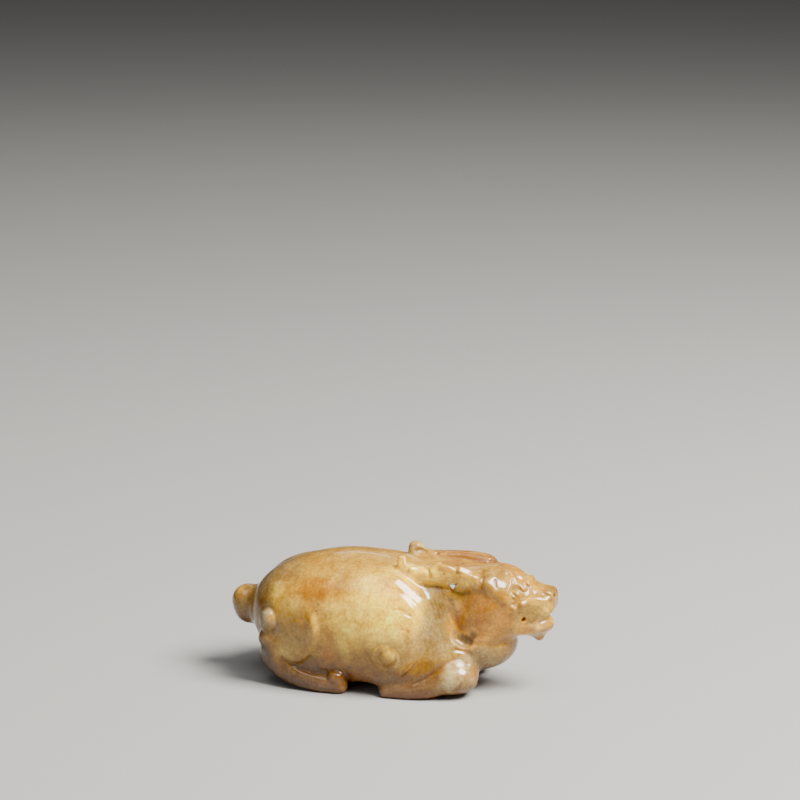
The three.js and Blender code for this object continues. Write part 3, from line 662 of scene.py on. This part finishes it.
# Where the colours lie, on both sides alike: centre, radii, colour and strength.
# Each zone is laid over those before it. The marked ones are painted shade and painted glow.
ZONES = [
    ((-24.0, 0, 21.5), (9.0, 14.0, 7.5), SOOT, 0.9),
    ((-21.0, 13.0, 19.5), (6.0, 6.0, 4.5), CLOUD, 0.6),
    # Painted shade along the top of the back.
    ((-6.0, 0, 27.5), (18.0, 9.0, 4.2), PAINTED_SHADE, 0.45),
    ((-6.5, 14.0, 16.0), (8.0, 8.0, 6.5), PALE, 0.8),
    ((-20.0, 12.0, 19.0), (5.0, 6.0, 4.0), PALE, 0.4),
    ((-26.5, 9.0, 18.0), (4.0, 6.0, 5.0), SMOKE, 0.45),
    ((1.5, 12.0, 17.5), (9.0, 9.0, 8.0), PALE, 1.0),
    ((5.0, 13.0, 11.0), (6.0, 6.0, 5.0), CLOUD, 0.5),
    ((-12.0, 12.0, 20.5), (8.0, 5.0, 2.8), AMBER, 0.7),
    ((-14.0, 14.0, 17.0), (5.0, 6.0, 3.5), AMBER, 0.4),
    ((-10.6, 14.0, 10.5), (2.6, 7.0, 6.5), AMBER, 0.7),
    ((-13.0, 12.0, 6.0), (9.0, 6.0, 2.4), UMBER, 0.45),
    ((-18.5, 14.0, 10.5), (4.5, 5.0, 4.0), CLOUD, 0.8),
    ((10.8, 8.0, 14.0), (4.4, 6.0, 9.5), STRAW, 0.85),
    # Painted shade of the horns on the neck below them.
    ((12.0, 5.0, 20.0), (4.0, 5.0, 4.0), PAINTED_SHADE, 0.5),
    ((20.8, 6.0, 16.8), (7.4, 8.0, 7.5), AMBER, 0.95),
    # Painted shade on the crown and the temples.
    ((22.0, 4.0, 24.5), (6.0, 5.0, 3.5), PAINTED_SHADE, 0.6),
    ((24.5, 6.0, 17.5), (3.0, 3.0, 2.6), AMBER, 0.6),
    # Painted glow on the lower cheek.
    ((19.5, 7.0, 12.6), (5.5, 5.0, 3.2), PAINTED_GLOW, 0.9),
    ((31.0, 3.0, 18.2), (3.6, 4.0, 2.6), PALE, 0.45),
    # Painted glow on the jaw.
    ((29.5, 4.0, 14.0), (3.6, 5.0, 2.8), PAINTED_GLOW, 0.7),
    ((31.5, 2.0, 13.5), (3.0, 5.0, 2.5), MILK, 0.35),
    ((20.5, 6.0, 7.5), (7.0, 6.0, 4.0), STRAW, 0.75),
    # Painted shade in the hollow under the cheek.
    ((16.4, 8.0, 12.1), (2.3, 3.0, 1.9), SMOKE, 0.9),
    # Painted shade under the chest.
    ((19.0, 0, 3.4), (8.0, 8.0, 3.0), UMBER, 0.5),
    ((-24.0, 12.6, 14.0), (3.2, 3.0, 3.6), GREY, 1.0),
    ((-33.0, 0, 12.5), (6.5, 8.0, 7.0), SMOKE, 0.8),
    ((-31.5, 0, 13.5), (3.0, 6.0, 3.5), CLOUD, 0.25),
    ((-26.5, 6.0, 10.0), (7.0, 12.0, 8.0), SMOKE, 0.7),
    ((-30.0, 0, 17.0), (4.0, 8.0, 3.5), UMBER, 0.4),
    ((-25.0, 9.0, 4.5), (8.0, 9.0, 4.5), UMBER, 0.9),
    ((-14.0, 13.5, 2.5), (10.0, 6.0, 3.4), SMOKE, 0.85),
    ((-4.0, 10.0, 2.5), (12.0, 8.0, 4.5), RUST, 0.6),
    ((4.0, 13.5, 1.5), (9.0, 5.0, 4.0), SMOKE, 0.6),
    ((10.0, 13.0, 1.5), (6.0, 5.0, 3.4), SMOKE, 0.45),
    ((16.2, 10.5, 5.0), (4.0, 5.0, 4.2), MILK, 0.9),
    # Painted shade along the very bottom, where the stone meets the floor.
    ((0.0, 0, -0.8), (36.0, 30.0, 2.4), RUSSET, 0.35),
    ((25.0, 0, 26.5), (6.0, 5.0, 2.4), RUSSET, 0.45),
    # Painted shade on the nose.
    ((34.0, 0, 20.5), (2.8, 4.0, 3.8), PAINTED_SHADE, 0.95),
]

# Zones that differ from side to side: the russet between the horns, and their pale ends.
SIDE_ZONES = [
    ((12.0, 5.0, 26.2), (7.0, 5.0, 2.4), RUST, 0.8),
    ((13.0, 0.0, 25.6), (8.0, 4.5, 1.6), RUST, 0.7),
    ((19.0, 4.5, 24.8), (3.5, 3.0, 1.6), RUSSET, 0.55),
    ((3.8, 4.5, 26.2), (2.6, 3.0, 2.2), MILK, 0.8),
    ((3.5, -5.0, 26.0), (2.6, 3.0, 3.0), PALE, 0.7),
    ((8.5, -6.0, 23.8), (8.0, 3.5, 2.6), PALE, 1.0),
]

# How far out a zone is still at full strength, and where it ends, in radii.
ZONE_EDGE = (0.45, 1.15)

# Painted shade low on the body: full up to the first height, gone at the second.
LOW_SHADE_EDGE = (2.0, 15.0)

# Zone borders drift by waves of this size, by this much in millimetres.
DRIFT_SIZE = 4.0
DRIFT_AMOUNT = 0.9
DRIFT_SEED = 3
DRIFT_OCTAVES = 3

# Small dark specks on the near side: place and radius.
SPECKS = [((26.0, -5.4, 13.9), 0.3), ((-12.6, -13.6, 18.6), 0.35), ((-12.9, -14.0, 17.4), 0.3),
          ((12.25, -7.0, 25.2), 0.3), ((7.9, -9.1, 20.8), 0.25), ((-5.9, -13.6, 5.9), 0.3)]
SPECK_STRENGTH = 0.8
SPECK_EDGE = (0.5, 1.3)


def wander(p):
    """Slow random drift of three values, from sums of sines."""
    rng = np.random.default_rng(DRIFT_SEED)
    out = np.zeros((len(p), 3))
    for octave in range(DRIFT_OCTAVES):
        wave = rng.normal(size=(3, 3)) * (2 ** octave) / DRIFT_SIZE
        phase = rng.uniform(0, 6.28, 3)
        out += np.sin(p @ wave + phase) / (1.6 ** octave)
    return out


def paint(colour, new, share):
    """The new colour laid over the old ones, by each point's share."""
    return colour * (1 - share[:, None]) + np.array(new) * share[:, None]


def distance_in_radii(p, at, radii):
    return np.sqrt((((p - np.array(at)) / np.array(radii)) ** 2).sum(1))


def tint(p):
    """The stone's large colour zones at the given points, with painted shade and painted glow among
    them.
    """
    drift = p + wander(p) * DRIFT_AMOUNT
    # Painted shade: the colour darkens towards the bottom.
    colour = paint(np.array(HONEY), LOW_SHADE, 1 - ramp(drift[:, 2], *LOW_SHADE_EDGE))
    for points, zones in ((fold(drift), ZONES), (drift, SIDE_ZONES)):
        for at, radii, new, strength in zones:
            reach = distance_in_radii(points, at, radii)
            colour = paint(colour, new, strength * (1 - ramp(reach, *ZONE_EDGE)))
    for at, radius in SPECKS:
        reach = distance_in_radii(p, at, radius)
        colour = paint(colour, UMBER, SPECK_STRENGTH * (1 - ramp(reach, *SPECK_EDGE)))
    return np.concatenate([colour, np.ones((len(p), 1))], 1)


def value_layer(obj, name, values):
    layer = obj.data.attributes.new(name, "FLOAT", "POINT")
    layer.data.foreach_set("value", np.ascontiguousarray(values, np.float32))


def colour_layer(obj, name, values):
    layer = obj.data.color_attributes.new(name, "FLOAT_COLOR", "POINT")
    layer.data.foreach_set("color", np.ascontiguousarray(values, np.float32).ravel())


class Nodes:
    """Short ways to add and link shader nodes."""

    def __init__(self, material):
        self.tree = material.node_tree
        self.tree.nodes.clear()

    def add(self, kind, **settings):
        node = self.tree.nodes.new(kind)
        for key, value in settings.items():
            setattr(node, key, value)
        return node

    def link(self, source, target):
        self.tree.links.new(source, target)

    def values(self, node, numbers):
        for name, number in numbers.items():
            node.inputs[name].default_value = number

    def noise(self, coordinates, scale, detail, rough=0.5, distortion=0.0):
        node = self.add("ShaderNodeTexNoise")
        self.values(node, {"Scale": scale, "Detail": detail, "Roughness": rough,
                           "Distortion": distortion})
        self.link(coordinates, node.inputs["Vector"])
        return node.outputs["Fac"]

    def span(self, value, low, high, to_low=0.0, to_high=1.0):
        node = self.add("ShaderNodeMapRange", interpolation_type="SMOOTHSTEP")
        self.link(value, node.inputs["Value"])
        self.values(node, {"From Min": low, "From Max": high,
                           "To Min": to_low, "To Max": to_high})
        return node.outputs["Result"]

    def mix(self, factor, a, b, how="MIX"):
        """Mixes two colours; a mix node keeps its colour inputs at 6 and 7, its result at 2."""
        node = self.add("ShaderNodeMix", data_type="RGBA", blend_type=how)
        for socket, value in ((0, factor), (6, a), (7, b)):
            if isinstance(value, (int, float)):
                node.inputs[socket].default_value = value
            elif isinstance(value, tuple):
                node.inputs[socket].default_value = (*value, 1.0)
            else:
                self.link(value, node.inputs[socket])
        return node.outputs[2]


# Tones of the stone, from coarse to fine: the noise's scale, detail, roughness and distortion,
# and the tints that multiply the colour where the noise passes from one value to the other.
TONES = [
    ((210, 5, 0.45, 0.4), [((0.5, 0.66), (1.12, 1.15, 1.22)), ((0.5, 0.34), (0.89, 0.79, 0.6))]),
    ((520, 3, 0.5, 0.2), [((0.5, 0.62), (1.13, 1.15, 1.2)), ((0.48, 0.36), (0.88, 0.82, 0.7))]),
    ((1700, 3, 0.6, 0.0), [((0.58, 0.4), (0.84, 0.79, 0.72)), ((0.52, 0.66), (1.12, 1.14, 1.18))]),
]
FLECK_COLOUR = (0.2, 0.08, 0.03)
GROOVE_TINT = (0.72, 0.55, 0.4)
JADE = {"Subsurface Weight": 0.7, "Subsurface Radius": (1.0, 0.75, 0.35),
        "Subsurface Scale": 0.0018, "IOR": 1.6, "Specular IOR Level": 0.45}
BUMP = {"Strength": 0.6, "Distance": 0.00012}

# The polish is a little duller where the finest noise is high.
ROUGHNESS = (0.07, 0.22)


def jade_material():
    material = bpy.data.materials.new("jade")
    material.use_nodes = True
    n = Nodes(material)
    place = n.add("ShaderNodeTexCoord").outputs["Object"]
    colour = n.add("ShaderNodeAttribute", attribute_name="tint").outputs["Color"]
    for noise, tints in TONES:
        finest = n.noise(place, *noise)
        for (start, end), new in tints:
            colour = n.mix(n.span(finest, start, end), colour, new, "MULTIPLY")
    fleck = n.noise(place, 1300, 2)
    colour = n.mix(n.span(fleck, 0.745, 0.79, 0.0, 0.55), colour, FLECK_COLOUR)
    carved = n.add("ShaderNodeAttribute", attribute_name="carved").outputs["Fac"]
    colour = n.mix(n.span(carved, 0.02, 0.2, 0.0, 0.6), colour, GROOVE_TINT, "MULTIPLY")
    shader = n.add("ShaderNodeBsdfPrincipled")
    n.values(shader, JADE)
    n.link(colour, shader.inputs["Base Color"])
    n.link(n.span(finest, 0.3, 0.75, *ROUGHNESS), shader.inputs["Roughness"])
    bump = n.add("ShaderNodeBump")
    n.values(bump, BUMP)
    n.link(n.noise(place, 420, 6, 0.55), bump.inputs["Height"])
    n.link(bump.outputs["Normal"], shader.inputs["Normal"])
    output = n.add("ShaderNodeOutputMaterial")
    n.link(shader.outputs["BSDF"], output.inputs["Surface"])
    return material


def plain_material(name, colour, roughness):
    material = bpy.data.materials.new(name)
    material.use_nodes = True
    shader = material.node_tree.nodes["Principled BSDF"]
    shader.inputs["Base Color"].default_value = (*colour, 1.0)
    shader.inputs["Roughness"].default_value = roughness
    return material


def thin(obj, triangles):
    """Joins the mesh's smallest triangles until that many are left."""
    obj.data.calc_loop_triangles()
    step = obj.modifiers.new("thin", "DECIMATE")
    step.ratio = triangles / len(obj.data.loop_triangles)
    step.use_collapse_triangulate = True
    graph = bpy.context.evaluated_depsgraph_get()
    mesh = bpy.data.meshes.new_from_object(obj.evaluated_get(graph))
    obj.modifiers.clear()
    obj.data = mesh


def make_beast():
    points, quads = surface_net(grid_values())
    points = settle(points)
    shift = np.array([LENGTH_SHIFT, 0, 0])
    obj = mesh_object("jade_beast_stone", (points + shift) * MM, quads)
    thin(obj, TRIANGLES)
    points = np.zeros(len(obj.data.vertices) * 3, np.float32)
    obj.data.vertices.foreach_get("co", points)
    points = points.reshape(-1, 3) / MM - shift
    slope, _ = slope_and_value(points, NORMAL_STEP)
    normals = slope / np.sqrt((slope * slope).sum(1))[:, None]
    obj.data.normals_split_custom_set_from_vertices(normals.tolist())
    colour_layer(obj, "tint", tint(points))
    value_layer(obj, "carved", carving(points.astype(np.float32)))
    print("stone:", len(points), "points,", len(obj.data.polygons), "triangles")
    obj.data.materials.append(jade_material())
    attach(obj, "root")
    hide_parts("jade_beast")


FLOOR_HALF = 6.0
FLOOR_COLOUR = (0.33, 0.325, 0.315)
FLOOR_ROUGHNESS = 0.8


def make_floor():
    mesh = bpy.data.meshes.new("floor")
    corners = [(x * FLOOR_HALF, y * FLOOR_HALF, 0) for x, y in ((-1, -1), (1, -1), (1, 1), (-1, 1))]
    mesh.from_pydata(corners, [], [(0, 1, 2, 3)])
    floor = bpy.data.objects.new("floor", mesh)
    floor.data.materials.append(plain_material("floor", FLOOR_COLOUR, FLOOR_ROUGHNESS))
    bpy.context.scene.collection.objects.link(floor)


# The photograph's camera: millimetres, degrees and pixels of an 800 pixel frame. The origin
# of the masses is seen at ORIGIN_PIXEL.
CAMERA_DISTANCE = 600.0
CAMERA_AZIMUTH = 15.0
CAMERA_ELEVATION = 18.0
PIXELS_PER_MM = 4.76
ORIGIN_PIXEL = (395.0, 677.0)
FRAME_PIXELS = 800.0
SENSOR_WIDTH = 36.0


def make_camera():
    focal = PIXELS_PER_MM * CAMERA_DISTANCE
    half = FRAME_PIXELS / 2
    drop = math.atan((ORIGIN_PIXEL[1] - half) / focal)
    turn = math.radians(CAMERA_AZIMUTH)
    pitch = math.radians(CAMERA_ELEVATION) - drop
    forward = Vector((-math.sin(turn) * math.cos(pitch), math.cos(turn) * math.cos(pitch),
                      -math.sin(pitch)))
    right = Vector((math.cos(turn), math.sin(turn), 0.0))
    up = right.cross(forward)
    ray = forward * focal + right * (ORIGIN_PIXEL[0] - half) + up * (half - ORIGIN_PIXEL[1])
    place = Vector((LENGTH_SHIFT, 0, 0)) - ray.normalized() * CAMERA_DISTANCE
    data = bpy.data.cameras.new("camera")
    data.sensor_width = SENSOR_WIDTH
    data.lens = focal / FRAME_PIXELS * SENSOR_WIDTH
    data.clip_start, data.clip_end = 0.01, 50.0
    camera = bpy.data.objects.new("camera", data)
    turned = Matrix((right, up, -forward)).transposed().to_4x4()
    camera.matrix_world = Matrix.Translation(place * MM) @ turned
    bpy.context.scene.collection.objects.link(camera)
    bpy.context.scene.camera = camera


# Soft studio lights: name, place and size in metres, power in watts, and colour.
WHITE = (1.0, 1.0, 1.0)
LIGHTS = [
    ("key", (0.424, -0.075, 0.614), (0.36, 0.40), 22.0, (1.0, 0.97, 0.92)),
    ("over", (-0.05, -0.20, 1.10), (0.9, 0.8), 5.5, WHITE),
    ("front", (-0.45, -0.9, 0.35), (0.9, 0.6), 1.2, WHITE),
    ("streak", (-0.224, 0.837, 0.50), (0.3, 0.06), 0.22, WHITE),
]
LIGHT_TARGET = (0.0, 0.0, 0.012)
WORLD_COLOUR = (0.8, 0.82, 0.85)
WORLD_STRENGTH = 0.1


def make_lights():
    for name, place, size, power, colour in LIGHTS:
        data = bpy.data.lights.new(name, "AREA")
        data.shape = "RECTANGLE"
        data.size, data.size_y = size
        data.energy = power
        data.color = colour
        light = bpy.data.objects.new(name, data)
        light.location = place
        aim = Vector(LIGHT_TARGET) - Vector(place)
        light.rotation_mode = "QUATERNION"
        light.rotation_quaternion = aim.to_track_quat("-Z", "Y")
        bpy.context.scene.collection.objects.link(light)
    world = bpy.data.worlds.new("studio")
    world.use_nodes = True
    background = world.node_tree.nodes["Background"]
    background.inputs["Color"].default_value = (*WORLD_COLOUR, 1.0)
    background.inputs["Strength"].default_value = WORLD_STRENGTH
    bpy.context.scene.world = world


make_beast()
make_floor()
make_camera()
make_lights()
